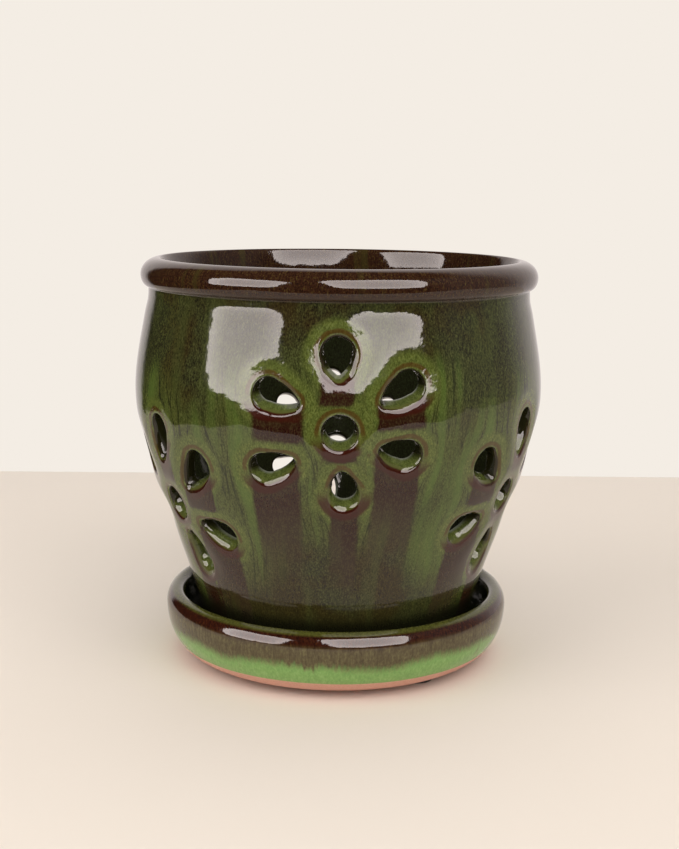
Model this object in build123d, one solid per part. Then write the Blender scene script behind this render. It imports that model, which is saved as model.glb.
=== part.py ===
from build123d import *
import math
import os

# A glazed orchid pot with air slots cut through its wall, standing in its own saucer on rubber pads.
# Millimetres. The origin is on the table under the middle of the pot, +Z is up, and the front
# flower of slots faces -Y.

# Pot, measured from the underside of its foot
pot_height = 144.9
belly_radius = 77.4
foot_radius = 50.4
neck_fall = 5.4
rim_overhang = 2.9
rim_depth = 10.5
rim_bulge_depth = 6.2
mouth_flare = 2.0
pot_wall = 6.0
pot_floor = 8.0
inside_corner_radius = 9.0
foot_ring_width = 7.0
foot_recess = 1.5
foot_edge_radius = 1.2
drain_radius = 8.5
drain_edge_radius = 2.0

# Saucer, measured from its underside. Its widths run outwards from the pot's foot.
saucer_foot_gap = 6.4
saucer_wall_lean = 2.2
saucer_inner_lip_width = 3.0
saucer_outer_lip_width = 4.4
saucer_swell = 12.0
saucer_bulge_height = 17.9
saucer_lip_height = 5.8
saucer_inside_lip_depth = 4.3
saucer_floor = 6.0
saucer_corner_radius = 4.0
saucer_recess = 1.0
saucer_base_angle = 82

# Rubber pads under the saucer, between the edge of its base and its recess
pad_radius = 6.0
pad_height = 2.5
pad_edge_gap = 2.47
pad_recess_gap = 3.6
pad_edge_radius = 1.5
pad_bearings = {"pad_right": 39, "pad_back": 159, "pad_left": 279}

# Slots: flowers of six petals and a round eye, alternately high and low on the wall
eye_radius = 5.7
eye_flare = 2.0
petal_radius = 5.2
petal_tip_radius = 1.8
petal_bulge_depth = 0.6
petal_tip_reach = 16.5
petal_length = 10.5
petal_flare = 2.8
slot_flare_depth = 1.8
tip_flare_share = 0.8
throat_narrowing = 0.9
throat_rise = 1.4
cut_overrun = 3.0
mouth_overrun = 1.0
wall_search_halvings = 12

# Wall curve of the pot. Each pair is a share of the height from foot to neck, and a share of the
# swell from foot to belly or of the fall from belly to neck.
flank_curve_shares = [(0.22, 0.305), (0.49, 0.79)]
belly_height_share = 0.72
shoulder_curve_shares = [(0.905, 0.63)]
foot_slope_share = 0.25
neck_slope_share = -0.10

# Heights of the flowers' eyes, as shares of the height from foot to neck
high_flower_share = 0.68
right_flower_share = 0.452
left_flower_share = 0.424

# The petals of each flower were cut by hand. A row is one petal: the bearing of its round end in
# degrees from the viewer's right, that end's reach, the tip's bearing less that one, the tip's
# reach, and the petal's size. The reaches and the size are shares of the named ones.
high_petal_shares = [
    (92, 0.98, 0, 1.08, 1.05),
    (153, 1.04, -5, 1.02, 0.97),
    (207, 1.12, 6, 1.16, 0.96),
    (275, 0.84, -2, 0.87, 0.95),
    (341, 0.93, -5, 0.93, 0.93),
    (33, 1.06, 1, 1.06, 1.00),
]
right_petal_shares = [
    (88, 1.03, -2, 0.97, 1.00),
    (143, 0.98, 5, 1.00, 1.05),
    (200, 0.98, 3, 0.97, 0.95),
    (268, 0.88, 0, 0.84, 1.00),
    (339, 1.02, -4, 1.00, 0.95),
    (36, 1.00, -5, 0.92, 1.03),
]
left_petal_shares = [
    (86, 1.07, 4, 1.04, 0.97),
    (142, 1.01, 3, 1.02, 1.02),
    (198, 1.01, 2, 0.97, 0.95),
    (286, 0.80, -4, 0.70, 1.02),
    (343, 1.03, -4, 0.95, 0.94),
    (40, 1.04, -6, 0.97, 1.03),
]

# Places above the table
saucer_level = pad_height
pot_level = saucer_level + saucer_floor

# Pot, worked out from the sizes above
body_height = pot_height - rim_depth
swell = belly_radius - foot_radius
neck_radius = belly_radius - neck_fall
rim_radius = neck_radius + rim_overhang
inside_radius = neck_radius - pot_wall
crest_radius = inside_radius + mouth_flare
petal_end_reach = petal_tip_reach + petal_length

# Saucer and pads, worked out from the pot's foot outwards
saucer_floor_radius = foot_radius + saucer_foot_gap
saucer_inside_radius = saucer_floor_radius + saucer_wall_lean
saucer_crest_radius = saucer_inside_radius + saucer_inner_lip_width
saucer_radius = saucer_crest_radius + saucer_outer_lip_width
saucer_base_radius = saucer_radius - saucer_swell * (1 - math.cos(math.radians(saucer_base_angle)))
pad_ring_radius = saucer_base_radius - pad_edge_gap - pad_radius
saucer_recess_radius = pad_ring_radius - pad_radius - pad_recess_gap

# Flowers in order to the right round the pot, starting at the front: bearing in degrees, table of
# petals and height of the eye
flowers = [
    (0, high_petal_shares, body_height * high_flower_share),
    (61.5, right_petal_shares, body_height * right_flower_share),
    (120, high_petal_shares, body_height * high_flower_share),
    (180, left_petal_shares, body_height * left_flower_share),
    (240, high_petal_shares, body_height * high_flower_share),
    (300, left_petal_shares, body_height * left_flower_share),
]


def wall_curve(inset):
    """The pot's wall from foot to neck, as radius and height, moved towards the axis by inset."""
    points = [(foot_radius - inset, 0)]
    points += [(foot_radius - inset + swell * bulge, body_height * up) for up, bulge in flank_curve_shares]
    points.append((belly_radius - inset, body_height * belly_height_share))
    for up, drop in shoulder_curve_shares:
        points.append((belly_radius - inset - neck_fall * drop, body_height * up))
    points.append((neck_radius - inset, body_height))
    return Spline(points, tangents=[(foot_slope_share, 1), (neck_slope_share, 1)])


def quarter(radius, height, across, along, start):
    """A quarter ellipse of a section round a point, from the start angle on."""
    return EllipticalCenterArc((radius, height), across, along, start, arc_size=90)


def block(width, height, up=0):
    """A rectangle from the axis outwards, standing at height up."""
    return Pos(0, up) * Rectangle(width, height, align=(Align.MIN, Align.MIN))


def corner(sketch, radius, height):
    """The corner of a section nearest a radius and a height."""
    return sketch.vertices().sort_by_distance((radius, height))[0]


def spin(sketch, level):
    """Turn a section round the axis and set it at its level above the table."""
    return Pos(0, 0, level) * revolve(Plane.XZ * sketch, Axis.Z)


def pot_outline():
    """Half section of the pot as if it were solid, with the rolled rim."""
    bulge_height = pot_height - rim_bulge_depth
    under_roll = quarter(neck_radius, bulge_height, rim_overhang, bulge_height - body_height, 270)
    over_roll = quarter(crest_radius, bulge_height, rim_radius - crest_radius, rim_bulge_depth, 0)
    top = Line((crest_radius, pot_height), (0, pot_height))
    axis = Line((0, pot_height), (0, 0))
    base = Line((0, 0), (foot_radius, 0))
    outline = make_face([base, wall_curve(0), under_roll, over_roll, top, axis])
    return fillet(corner(outline, foot_radius, 0), foot_edge_radius)


def pot_hollow():
    """Half section of the space inside the pot, which widens from the neck up to the rim's crest."""
    above = pot_height + cut_overrun
    flare = quarter(crest_radius, body_height, mouth_flare, rim_depth, 90)
    mouth = Polyline((crest_radius, pot_height), (crest_radius, above), (0, above), (0, 0))
    bottom = Line((0, 0), (foot_radius - pot_wall, 0))
    hollow = make_face([bottom, wall_curve(pot_wall), flare, mouth])
    hollow -= block(belly_radius, pot_floor)
    floor_corner = hollow.vertices().group_by(Axis.Y)[0].sort_by(Axis.X)[-1]
    return fillet(floor_corner, inside_corner_radius)


def on_wall(bearing, height):
    """Point, outward direction and radius of the pot's outer wall at a bearing and a height."""
    curve = wall_curve(0)
    low, high = 0, 1
    for _ in range(wall_search_halvings):
        middle = (low + high) / 2
        if (curve @ middle).Y < height:
            low = middle
        else:
            high = middle
    place = curve @ low
    slope = curve % low
    turn = Rotation(0, 0, bearing)
    point = turn * Pos(0, -place.X, place.Y)
    outward = (turn * Pos(0, -slope.Y, -slope.X)).position
    return point.position, outward, place.X


def teardrop(end_radius, tip_radius, length):
    """A petal's outline: a round end at the origin and a small round tip along X."""
    lean = math.degrees(math.asin((end_radius - tip_radius) / length))
    end_top = Vector(end_radius, 0).rotate(Axis.Z, 90 - lean)
    tip_top = Vector(length, 0) + Vector(tip_radius, 0).rotate(Axis.Z, 90 - lean)
    side_top = (end_top + tip_top) / 2 + Vector(petal_bulge_depth, 0).rotate(Axis.Z, 90 - lean)
    end_low, tip_low, side_low = (Vector(p.X, -p.Y) for p in (end_top, tip_top, side_top))
    return make_face([
        ThreePointArc(end_top, (-end_radius, 0), end_low),
        ThreePointArc(end_low, side_low, tip_low),
        ThreePointArc(tip_low, (length + tip_radius, 0), tip_top),
        ThreePointArc(tip_top, side_top, end_top),
    ])


def flared_cut(outline, flare, plane):
    """Cut through the wall: a flare from the outside, and a throat that narrows and climbs inwards.

    outline(growth, plane) draws the slot on a plane, grown all round.
    """
    mouth_growth = flare * (1 + mouth_overrun / slot_flare_depth)
    inward = 1 + cut_overrun / (pot_wall - slot_flare_depth)
    mouth = outline(mouth_growth, plane.offset(mouth_overrun))
    throat = outline(0, plane.offset(-slot_flare_depth))
    inside = outline(-throat_narrowing * inward, plane.offset(-pot_wall - cut_overrun))
    raised = Pos(0, 0, throat_rise * inward) * inside
    return [loft([raised, throat], ruled=True), loft([throat, mouth], ruled=True)]


def petal_cut(flower_bearing, flower_height, petal):
    """Cut of one petal of a flower, square to the wall at the petal's middle."""
    end_bearing, end_share, tip_turn, tip_share, size_share = petal
    around = on_wall(flower_bearing, flower_height)[2]

    def from_eye(offset):
        return on_wall(flower_bearing + math.degrees(offset.X / around), flower_height + offset.Y)

    end_offset = Vector(petal_end_reach * end_share, 0).rotate(Axis.Z, end_bearing)
    tip_offset = Vector(petal_tip_reach * tip_share, 0).rotate(Axis.Z, end_bearing + tip_turn)
    end, tip = from_eye(end_offset)[0], from_eye(tip_offset)[0]
    middle, outward, _ = from_eye((end_offset + tip_offset) / 2)
    petal_plane = Plane(middle, x_dir=tip - end, z_dir=outward)
    end_place = petal_plane.to_local_coords(end).X
    length = petal_plane.to_local_coords(tip).X - end_place - petal_tip_radius

    def outline(growth, plane):
        end_radius = petal_radius * size_share + growth
        tip_radius = petal_tip_radius + growth * tip_flare_share
        return plane * Pos(end_place, 0) * teardrop(end_radius, tip_radius, length)

    return flared_cut(outline, petal_flare * size_share, petal_plane)


def eye_cut(bearing, height):
    """Cut of a flower's round eye."""
    middle, outward, _ = on_wall(bearing, height)

    def outline(growth, plane):
        return plane * Circle(eye_radius + growth)

    return flared_cut(outline, eye_flare, Plane(middle, z_dir=outward))


def slot_cuts():
    """Cuts of every flower round the pot, at the pot's own height."""
    cuts = []
    for bearing, petals, height in flowers:
        cuts += eye_cut(bearing, height)
        for petal in petals:
            cuts += petal_cut(bearing, height, petal)
    return cuts


def make_pot():
    section = pot_outline() - pot_hollow()
    section -= block(foot_radius - foot_ring_width, foot_recess)
    section -= block(drain_radius, pot_floor)
    section = fillet(corner(section, drain_radius, pot_floor), drain_edge_radius)
    return Pos(0, 0, pot_level) * (spin(section, 0) - slot_cuts())


def make_saucer():
    """The dish: a wall that swells as part of an ellipse to a rounded lip, and a flat floor."""
    crest_height = saucer_bulge_height + saucer_lip_height
    inside_lip_height = crest_height - saucer_inside_lip_depth
    ellipse_height = saucer_bulge_height / math.sin(math.radians(saucer_base_angle))
    outer = EllipticalCenterArc(
        (saucer_radius - saucer_swell, saucer_bulge_height), saucer_swell, ellipse_height,
        -saucer_base_angle, arc_size=saucer_base_angle)
    outer_lip = quarter(
        saucer_crest_radius, saucer_bulge_height, saucer_outer_lip_width, saucer_lip_height, 0)
    inner_lip = quarter(
        saucer_crest_radius, inside_lip_height, saucer_inner_lip_width, saucer_inside_lip_depth, 90)
    inner_wall = Line((saucer_inside_radius, inside_lip_height), (saucer_floor_radius, saucer_floor))
    floor = Polyline((saucer_floor_radius, saucer_floor), (0, saucer_floor), (0, 0), (saucer_base_radius, 0))
    section = make_face([outer, outer_lip, inner_lip, inner_wall, floor])
    section = fillet(corner(section, saucer_floor_radius, saucer_floor), saucer_corner_radius)
    section -= block(saucer_recess_radius, saucer_recess)
    return spin(section, saucer_level)


def make_pad(bearing):
    """A round rubber bumper stuck under the saucer, its edge rounded where it meets the table."""
    edge = corner(block(pad_radius, pad_height), pad_radius, 0)
    pad = spin(fillet(edge, pad_edge_radius), 0)
    return Rotation(0, 0, bearing) * Pos(0, -pad_ring_radius) * pad


nodes = {"pot": make_pot(), "saucer": make_saucer()}
for name, bearing in pad_bearings.items():
    nodes[name] = make_pad(bearing)

os.makedirs("parts", exist_ok=True)
for name, solid in nodes.items():
    export_step(solid, f"parts/{name}.step")
    print(name, "volume", round(solid.volume), "mm3")
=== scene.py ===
import math

import bmesh
import bpy
import numpy as np
from mathutils import Matrix, Vector
from mathutils.geometry import delaunay_2d_cdt


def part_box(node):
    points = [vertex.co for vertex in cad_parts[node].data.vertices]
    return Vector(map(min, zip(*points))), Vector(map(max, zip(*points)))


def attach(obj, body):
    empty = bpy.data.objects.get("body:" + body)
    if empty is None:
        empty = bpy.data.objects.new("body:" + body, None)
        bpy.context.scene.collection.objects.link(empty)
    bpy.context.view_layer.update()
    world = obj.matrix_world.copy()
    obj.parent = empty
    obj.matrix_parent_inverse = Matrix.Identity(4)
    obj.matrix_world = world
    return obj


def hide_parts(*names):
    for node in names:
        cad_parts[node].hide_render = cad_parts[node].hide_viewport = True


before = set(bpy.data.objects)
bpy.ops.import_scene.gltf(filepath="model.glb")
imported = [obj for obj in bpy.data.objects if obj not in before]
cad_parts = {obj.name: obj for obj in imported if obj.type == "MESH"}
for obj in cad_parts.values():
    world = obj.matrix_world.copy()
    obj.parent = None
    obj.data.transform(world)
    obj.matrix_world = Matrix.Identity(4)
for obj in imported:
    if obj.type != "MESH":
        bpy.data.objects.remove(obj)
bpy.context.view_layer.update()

# Lengths are in millimetres here, and turn into metres where a mesh, lamp or camera is made.
MM = 0.001


def box_mm(node):
    low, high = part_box(node)
    return np.array(low) / MM, np.array(high) / MM


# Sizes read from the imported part
pot_low, pot_high = box_mm("pot")
saucer_low, saucer_high = box_mm("saucer")
POT_LEVEL = pot_low[2]
POT_HEIGHT = pot_high[2] - pot_low[2]
BELLY_RADIUS = min(-pot_low[0], pot_high[0]) - 0.01
SAUCER_LEVEL = saucer_low[2]
SAUCER_RADIUS = saucer_high[0]
SAUCER_HEIGHT = saucer_high[2] - saucer_low[2]

# Sizes of the pot that its box doesn't give
FOOT_RADIUS = 50.4
NECK_FALL = 5.4
RIM_OVERHANG = 2.9
RIM_DEPTH = 10.5
RIM_BULGE_DEPTH = 6.2
MOUTH_FLARE = 2.0
POT_WALL = 6.0
POT_FLOOR = 8.0
FOOT_RING_WIDTH = 7.0
FOOT_RECESS = 1.5
FOOT_EDGE_RADIUS = 1.2
DRAIN_RADIUS = 8.5
DRAIN_EDGE_RADIUS = 2.0
DRAIN_CHAMFER = 0.8
RING_CHAMFER = 0.8
NECK_GAP = 0.9
INSIDE_CORNER_RADIUS = 9.0
NECK_RADIUS = BELLY_RADIUS - NECK_FALL
BODY_HEIGHT = POT_HEIGHT - RIM_DEPTH

# Wall curve from foot to neck: shares of the height, with radii between foot, belly and neck
WALL_HEIGHTS = BODY_HEIGHT * np.array([0, 0.22, 0.49, 0.72, 0.905, 1])
WALL_RADII = np.array([
    FOOT_RADIUS,
    FOOT_RADIUS + 0.305 * (BELLY_RADIUS - FOOT_RADIUS),
    FOOT_RADIUS + 0.79 * (BELLY_RADIUS - FOOT_RADIUS),
    BELLY_RADIUS,
    BELLY_RADIUS - 0.63 * NECK_FALL,
    NECK_RADIUS,
])
FOOT_SLOPE, NECK_SLOPE = 0.25, -0.10

# Slots
EYE_RADIUS = 5.7
EYE_FLARE = 2.0
PETAL_RADIUS = 5.2
PETAL_TIP_RADIUS = 1.8
PETAL_BULGE_DEPTH = 0.6
PETAL_TIP_REACH = 16.5
PETAL_END_REACH = 27.0
PETAL_FLARE = 2.8
SLOT_FLARE_DEPTH = 1.8
TIP_FLARE_SHARE = 0.8
THROAT_NARROWING = 0.9
THROAT_RISE = 1.4

# Petals as in the solids: bearing of the round end, its reach, turn to the tip, tip's reach, size
HIGH_PETALS = [
    (92, 0.98, 0, 1.08, 1.05),
    (153, 1.04, -5, 1.02, 0.97),
    (207, 1.12, 6, 1.16, 0.96),
    (275, 0.84, -2, 0.87, 0.95),
    (341, 0.93, -5, 0.93, 0.93),
    (33, 1.06, 1, 1.06, 1.00),
]
RIGHT_PETALS = [
    (88, 1.03, -2, 0.97, 1.00),
    (143, 0.98, 5, 1.00, 1.05),
    (200, 0.98, 3, 0.97, 0.95),
    (268, 0.88, 0, 0.84, 1.00),
    (339, 1.02, -4, 1.00, 0.95),
    (36, 1.00, -5, 0.92, 1.03),
]
LEFT_PETALS = [
    (86, 1.07, 4, 1.04, 0.97),
    (142, 1.01, 3, 1.02, 1.02),
    (198, 1.01, 2, 0.97, 0.95),
    (286, 0.80, -4, 0.70, 1.02),
    (343, 1.03, -4, 0.95, 0.94),
    (40, 1.04, -6, 0.97, 1.03),
]
FLOWERS = [
    (0, HIGH_PETALS, 0.68),
    (61.5, RIGHT_PETALS, 0.452),
    (120, HIGH_PETALS, 0.68),
    (180, LEFT_PETALS, 0.424),
    (240, HIGH_PETALS, 0.68),
    (300, LEFT_PETALS, 0.424),
]

# Rounded edges of a slot: reach before the edge, reach after it, rows of points
LIP_BEND = (0.8, 0.9, 7)
THROAT_BEND = (0.8, 1.2, 5)
EXIT_BEND = (1.1, 1.0, 5)
MOST_LEAD, MOST_TAIL = 0.95, 0.6
LIP_MARGIN = 0.6
EXIT_MARGIN = 1.6
LEAST_FLARE = 0.3
NARROWING_END = 1.3

# How the glaze softens the cut clay
DISH_DEPTH = 0.95
DISH_SPREAD = 5.5
DISH_BELOW = 0.5
DISH_TURN = 10.0
DISH_JOINING = 4
COVE_DEPTH = 0.35
COVE_HEIGHT = 130.0
COVE_SPREAD = 3.0
LIP_SPREAD = 1.25

# How the glaze runs down from the slots and parts round them
RUN_OVERLAP = 0.4
RUN_GAP = 3.0
RUN_LENGTH = 60.0
SAME_COLUMN = 13.0
LEAST_FALL = 8.0
PARTING_MARGIN = 3.0
PARTING_FADE = 14.0
PARTING_STRENGTH = 0.8

# Mesh
COLUMNS = 264
SAUCER_COLUMNS = 240
PAD_COLUMNS = 72
SEAM = math.radians(31)
OUTER_BAND = (3.0, 131.5)
INNER_BAND = (21.0, 130.5)
OUTSIDE, INSIDE = 0.0, 5.0
OUTER_SPACING = 2.0
INNER_SPACING = 3.2
OUTER_CLEARANCE = 1.1
INNER_CLEARANCE = 3.2
ROW_SPACING = 0.87
UNROLLED_RADIUS = 75.0
JOIN_DISTANCE = 0.004
FAR = 99.0
FARTHEST_SHADED = 30.0
FARTHEST_BELOW = 20.0
SLOT_REACH = 40.0

# Surfaces
POT_ROUGHNESS = 0.06
SAUCER_ROUGHNESS = 0.07
CLAY_ROUGHNESS = 0.7
RIPPLE_DEPTH = 0.0004
RIPPLE_STRENGTH = 0.14

# Camera as fitted to the photograph, with the focal length in its pixels
PHOTO_HEIGHT = 849
FOCAL_LENGTH = 1341.4
SENSOR_WIDTH = 36.0
CAMERA_PLACE = (-4.70, -511.99, 181.97)
CAMERA_YAW, CAMERA_PITCH, CAMERA_ROLL = 0.6, 10.282, 0.657

# Point that the lamps and the mirrored stage face, in metres
MIDDLE = Vector((0, 0, 0.1))


def clamped_spline(xs, ys, first_slope, last_slope):
    """Cubic spline through points with given end slopes, as a function of x."""
    n = len(xs)
    h = np.diff(xs)
    rise = np.diff(ys) / h
    matrix = np.zeros((n, n))
    right = np.zeros(n)
    matrix[0, 0], right[0] = 1, first_slope
    matrix[-1, -1], right[-1] = 1, last_slope
    for i in range(1, n - 1):
        matrix[i, i - 1] = h[i]
        matrix[i, i] = 2 * (h[i - 1] + h[i])
        matrix[i, i + 1] = h[i - 1]
        right[i] = 3 * (h[i] * rise[i - 1] + h[i - 1] * rise[i])
    slopes = np.linalg.solve(matrix, right)

    def curve(x):
        x = np.clip(np.asarray(x, float), xs[0], xs[-1])
        i = np.clip(np.searchsorted(xs, x, side="right") - 1, 0, n - 2)
        t = (x - xs[i]) / h[i]
        a = (1 + 2 * t) * (1 - t) ** 2 * ys[i] + t * (1 - t) ** 2 * h[i] * slopes[i]
        b = t * t * (3 - 2 * t) * ys[i + 1] + t * t * (t - 1) * h[i] * slopes[i + 1]
        return a + b

    return curve


body_radius = clamped_spline(WALL_HEIGHTS, WALL_RADII, FOOT_SLOPE, NECK_SLOPE)


def at(bearing, radius, height):
    """Points from bearings in radians, positive to the right of the front, radii and heights."""
    bearing, radius, height = np.broadcast_arrays(bearing, radius, height)
    return np.stack([radius * np.sin(bearing), -radius * np.cos(bearing), height], -1)


def bearing_of(points):
    return np.arctan2(points[..., 0], -points[..., 1])


def turn_to(end, start):
    """Angle to a bearing from another, at most half a turn either way."""
    return (end - start + np.pi) % (2 * np.pi) - np.pi


def unit(vectors):
    return vectors / np.linalg.norm(vectors, axis=-1, keepdims=True)


def polar(radius, angles, centre=0.0):
    """Flat points at a radius and angles in radians round a centre on the first axis."""
    return np.stack([centre + radius * np.cos(angles), radius * np.sin(angles)], -1)


def arc_points(centre, across, along, start, turn, count):
    """Points along part of an ellipse in a half section, angles in degrees."""
    angles = np.radians(np.linspace(start, start + turn, count))
    return np.stack([centre[0] + across * np.cos(angles), centre[1] + along * np.sin(angles)], -1)


class Petal:
    """A slot's outline on a plane that touches the wall at the slot's middle."""

    END_STEPS, SIDE_STEPS, TIP_STEPS = 22, 11, 10

    def __init__(self, flower_bearing, flower_height, petal):
        end_bearing, end_share, tip_turn, tip_share, size = petal
        around = body_radius(flower_height)
        self.flare = PETAL_FLARE * size
        self.radius = PETAL_RADIUS * size

        def on_wall(reach, degrees):
            turn = math.radians(degrees)
            bearing = flower_bearing + reach * math.cos(turn) / around
            height = flower_height + reach * math.sin(turn)
            return bearing, height

        end_reach = PETAL_END_REACH * end_share
        tip_reach = PETAL_TIP_REACH * tip_share
        self.end = on_wall(end_reach, end_bearing)
        self.tip = on_wall(tip_reach, end_bearing + tip_turn)
        self.middle_place = tuple((a + b) / 2 for a, b in zip(self.end, self.tip))
        set_plane(self)
        end, tip = (at(b, body_radius(z), z) for b, z in (self.end, self.tip))
        along = tip - end
        self.x_dir = unit(along - (along @ self.normal) * self.normal)
        self.y_dir = np.cross(self.normal, self.x_dir)
        self.start = (end - self.middle) @ self.x_dir
        self.length = (tip - self.middle) @ self.x_dir - self.start - PETAL_TIP_RADIUS
        self.count = self.END_STEPS + 2 * self.SIDE_STEPS + self.TIP_STEPS

    def outline(self, growth):
        """Outline grown all round, one growth a point, as two coordinates on the plane."""
        growth = np.broadcast_to(growth, self.count)
        r1 = self.radius + growth
        r2 = PETAL_TIP_RADIUS + growth * TIP_FLARE_SHARE
        top = np.pi / 2 - np.arcsin((r1 - r2) / self.length)
        low_side = slice(self.END_STEPS, self.END_STEPS + self.SIDE_STEPS)
        tip = slice(low_side.stop, low_side.stop + self.TIP_STEPS)
        end, high_side = slice(0, low_side.start), slice(tip.stop, None)
        share = np.arange(self.SIDE_STEPS) / self.SIDE_STEPS
        end_angles = top[end] + np.arange(self.END_STEPS) / self.END_STEPS * 2 * (np.pi - top[end])
        tip_angles = -top[tip] + np.arange(self.TIP_STEPS) / self.TIP_STEPS * 2 * top[tip]
        # round end from its upper side round the back, lower side, tip, and upper side back to the start
        points = np.concatenate([
            polar(r1[end], end_angles),
            self.side(r1[low_side], r2[low_side], top[low_side], share, -1),
            polar(r2[tip], tip_angles, self.length),
            self.side(r1[high_side], r2[high_side], top[high_side], 1 - share, 1),
        ])
        points[:, 0] += self.start
        return points

    def side(self, r1, r2, top, share, sign):
        """Points along a bulging side, from the end at share 0 to the tip at share 1."""
        end = polar(r1, sign * top)
        tip = polar(r2, sign * top, self.length)
        outward = polar(1.0, sign * top)
        bulge = 4 * share * (1 - share) * PETAL_BULGE_DEPTH
        return end + (tip - end) * share[:, None] + outward * bulge[:, None]

    def distance(self, x, y):
        """Distance outside the outline on the plane, negative inside, leaving out the bulge."""
        r1, r2, length = self.radius, PETAL_TIP_RADIUS, self.length
        x, y = x - self.start, np.abs(y)
        lean = (r1 - r2) / length
        side = math.sqrt(1 - lean * lean)
        from_end = np.hypot(x, y) - r1
        from_tip = np.hypot(x - length, y) - r2
        from_side = x * lean + y * side - r1
        along = x * side - y * lean
        return np.where(along < 0, from_end, np.where(along > side * length, from_tip, from_side))

    def columns(self):
        """Bearing and height of the axis ends, with the radii there, for what runs down below."""
        return [(*self.end, self.radius), (*self.tip, PETAL_TIP_RADIUS)]


class Eye:
    """A flower's round eye, on a plane that touches the wall at its middle."""

    STEPS = 48

    def __init__(self, bearing, height):
        self.middle_place = (bearing, height)
        set_plane(self)
        self.x_dir = unit(np.cross([0.0, 0.0, 1.0], self.normal))
        self.y_dir = np.cross(self.normal, self.x_dir)
        self.flare = EYE_FLARE
        self.radius = EYE_RADIUS
        self.count = self.STEPS

    def outline(self, growth):
        growth = np.broadcast_to(growth, self.count)
        return polar(EYE_RADIUS + growth, np.arange(self.count) / self.count * 2 * np.pi)

    def distance(self, x, y):
        return np.hypot(x, y) - EYE_RADIUS

    def columns(self):
        return [(*self.middle_place, self.radius), (*self.middle_place, self.radius)]


def set_plane(slot):
    """Point on the wall and outward direction at a slot's middle."""
    bearing, height = slot.middle_place
    step = 0.01
    slope = (body_radius(height + step) - body_radius(height - step)) / (2 * step)
    slot.middle = at(bearing, body_radius(height), height)
    slot.normal = unit(np.array([math.sin(bearing), -math.cos(bearing), -slope]))


def all_slots():
    slots = []
    for degrees, petals, height_share in FLOWERS:
        bearing, height = math.radians(degrees), BODY_HEIGHT * height_share
        slots.append(Eye(bearing, height))
        slots += [Petal(bearing, height, petal) for petal in petals]
    return slots


SLOTS = all_slots()


def slot_distances(points):
    """Distance of points from each slot's throat, as a list of rows, far where out of reach."""
    rows = []
    for slot in SLOTS:
        row = np.full(len(points), FAR)
        offset = points - slot.middle
        near = (offset ** 2).sum(-1) < SLOT_REACH ** 2
        if near.any():
            row[near] = slot.distance(offset[near] @ slot.x_dir, offset[near] @ slot.y_dir)
        rows.append(row)
    return np.array(rows)


def wall_radius(bearing, height):
    """Radius of the glazed outer wall, sunk over each slot, less under it, and drawn in below the rim."""
    plain = body_radius(height)
    points = at(bearing, plain, height).reshape(-1, 3)
    away = np.maximum(slot_distances(points), 0)
    rise = points[:, 2] - np.array([slot.middle[2] for slot in SLOTS])[:, None]
    weight = DISH_BELOW + (1 - DISH_BELOW) * (0.5 + 0.5 * np.tanh(rise / DISH_TURN))
    sinks = weight ** DISH_JOINING * np.exp(-DISH_JOINING * (away / DISH_SPREAD) ** 2)
    dish = DISH_DEPTH * sinks.sum(0) ** (1 / DISH_JOINING)
    cove = COVE_DEPTH * np.exp(-((points[:, 2] - COVE_HEIGHT) / COVE_SPREAD) ** 2)
    return plain - (dish + cove).reshape(np.shape(plain))


def inner_radius(bearing, height):
    return body_radius(height) - POT_WALL


def on_plane(slot, outline, depth, rise=0.0):
    """Points from an outline on a slot's plane, moved inwards by depth and up by rise."""
    points = slot.middle + outline[:, :1] * slot.x_dir + outline[:, 1:] * slot.y_dir
    points = points - np.reshape(depth, (-1, 1)) * slot.normal
    points[:, 2] += rise
    return points


def depth_to(slot, place, radius_of, rounds=6):
    """Depths at which the points place(depth) lie on a surface of the wall."""
    depth = np.zeros(slot.count)
    for _ in range(rounds):
        points = place(depth)
        radii = np.hypot(points[:, 0], points[:, 1])
        depth = depth + (radii - radius_of(bearing_of(points), points[:, 2]))
    return depth


def bend(before, corner, after, lead, tail, steps):
    """A rounded corner between two straight runs, as rows of points."""
    to_before, to_after = before - corner, after - corner
    back = np.linalg.norm(to_before, axis=1, keepdims=True)
    ahead = np.linalg.norm(to_after, axis=1, keepdims=True)
    start = corner + to_before * np.minimum(lead / back, MOST_LEAD)
    end = corner + to_after * np.minimum(tail / ahead, MOST_TAIL)
    rows = []
    for t in np.linspace(0, 1, steps):
        rows.append(start * (1 - t) ** 2 + corner * 2 * t * (1 - t) + end * t * t)
    return rows


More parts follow.
